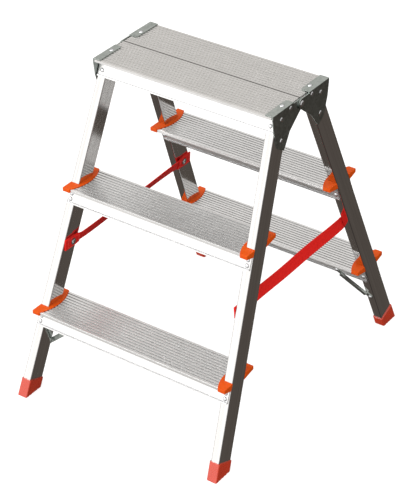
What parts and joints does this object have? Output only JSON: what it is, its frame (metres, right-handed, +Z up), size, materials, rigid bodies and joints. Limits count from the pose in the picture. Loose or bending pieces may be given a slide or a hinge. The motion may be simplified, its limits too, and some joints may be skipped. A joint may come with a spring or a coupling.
{
  "type": "step ladder",
  "caption": "Low double-sided folding step ladder with a ribbed split platform, ribbed treads, splayed rectangular stiles, plastic end caps and shoes, and webbing stays.",
  "frame": {"origin": "on the floor, midway between the four feet, straight below the hinge axis", "axes": "+Z up, +X along the steps to the right as seen from the front, +Y from the front half to the rear half"},
  "size_m": [0.5052, 0.6914, 0.6941],
  "materials": {
    "stile_aluminium": "satin extruded, fine lengthwise lines",
    "step_aluminium": "satin extruded, ribbed",
    "platform_aluminium": "matt extruded, ribbed",
    "galvanised_steel": "zinc plated, dull with faint spangle",
    "rivet_steel": "bright",
    "cap_plastic": "orange, satin moulded",
    "foot_plastic": "red orange, satin moulded",
    "strap_webbing": "woven red webbing",
    "washer_nylon": "natural nylon"
  },
  "bodies": {
    "front_half": {"front_gusset_rivets": "rivet_steel", "front_left_foot": "foot_plastic", "front_left_gusset": "galvanised_steel", "front_left_lower_cap": "cap_plastic", "front_left_middle_cap": "cap_plastic", "front_left_stile": "stile_aluminium", "front_left_strut": "galvanised_steel", "front_lower_tread": "step_aluminium", "front_middle_tread": "step_aluminium", "front_platform": "platform_aluminium", "front_right_foot": "foot_plastic", "front_right_gusset": "galvanised_steel", "front_right_lower_cap": "cap_plastic", "front_right_middle_cap": "cap_plastic", "front_right_stile": "stile_aluminium", "front_right_strut": "galvanised_steel", "front_strap_rivets": "rivet_steel", "front_strut_rivets": "rivet_steel", "front_tread_rivets": "rivet_steel", "left_hinge_pin": "rivet_steel", "left_hinge_washer": "washer_nylon", "left_strap": "strap_webbing", "right_hinge_pin": "rivet_steel", "right_hinge_washer": "washer_nylon", "right_strap": "strap_webbing"},
    "rear_half": {"rear_gusset_rivets": "rivet_steel", "rear_left_foot": "foot_plastic", "rear_left_gusset": "galvanised_steel", "rear_left_lower_cap": "cap_plastic", "rear_left_middle_cap": "cap_plastic", "rear_left_stile": "stile_aluminium", "rear_left_strut": "galvanised_steel", "rear_lower_tread": "step_aluminium", "rear_middle_tread": "step_aluminium", "rear_platform": "platform_aluminium", "rear_right_foot": "foot_plastic", "rear_right_gusset": "galvanised_steel", "rear_right_lower_cap": "cap_plastic", "rear_right_middle_cap": "cap_plastic", "rear_right_stile": "stile_aluminium", "rear_right_strut": "galvanised_steel", "rear_strap_rivets": "rivet_steel", "rear_strut_rivets": "rivet_steel", "rear_tread_rivets": "rivet_steel"}
  },
  "joints": [
    {"name": "fold", "type": "hinge", "parent": "front_half", "child": "rear_half", "pos_m": [0, 0, 0.6786], "axis": [1, 0, 0], "range_deg": [-42, 0], "deforming": ["left_strap", "right_strap"]}
  ]
}
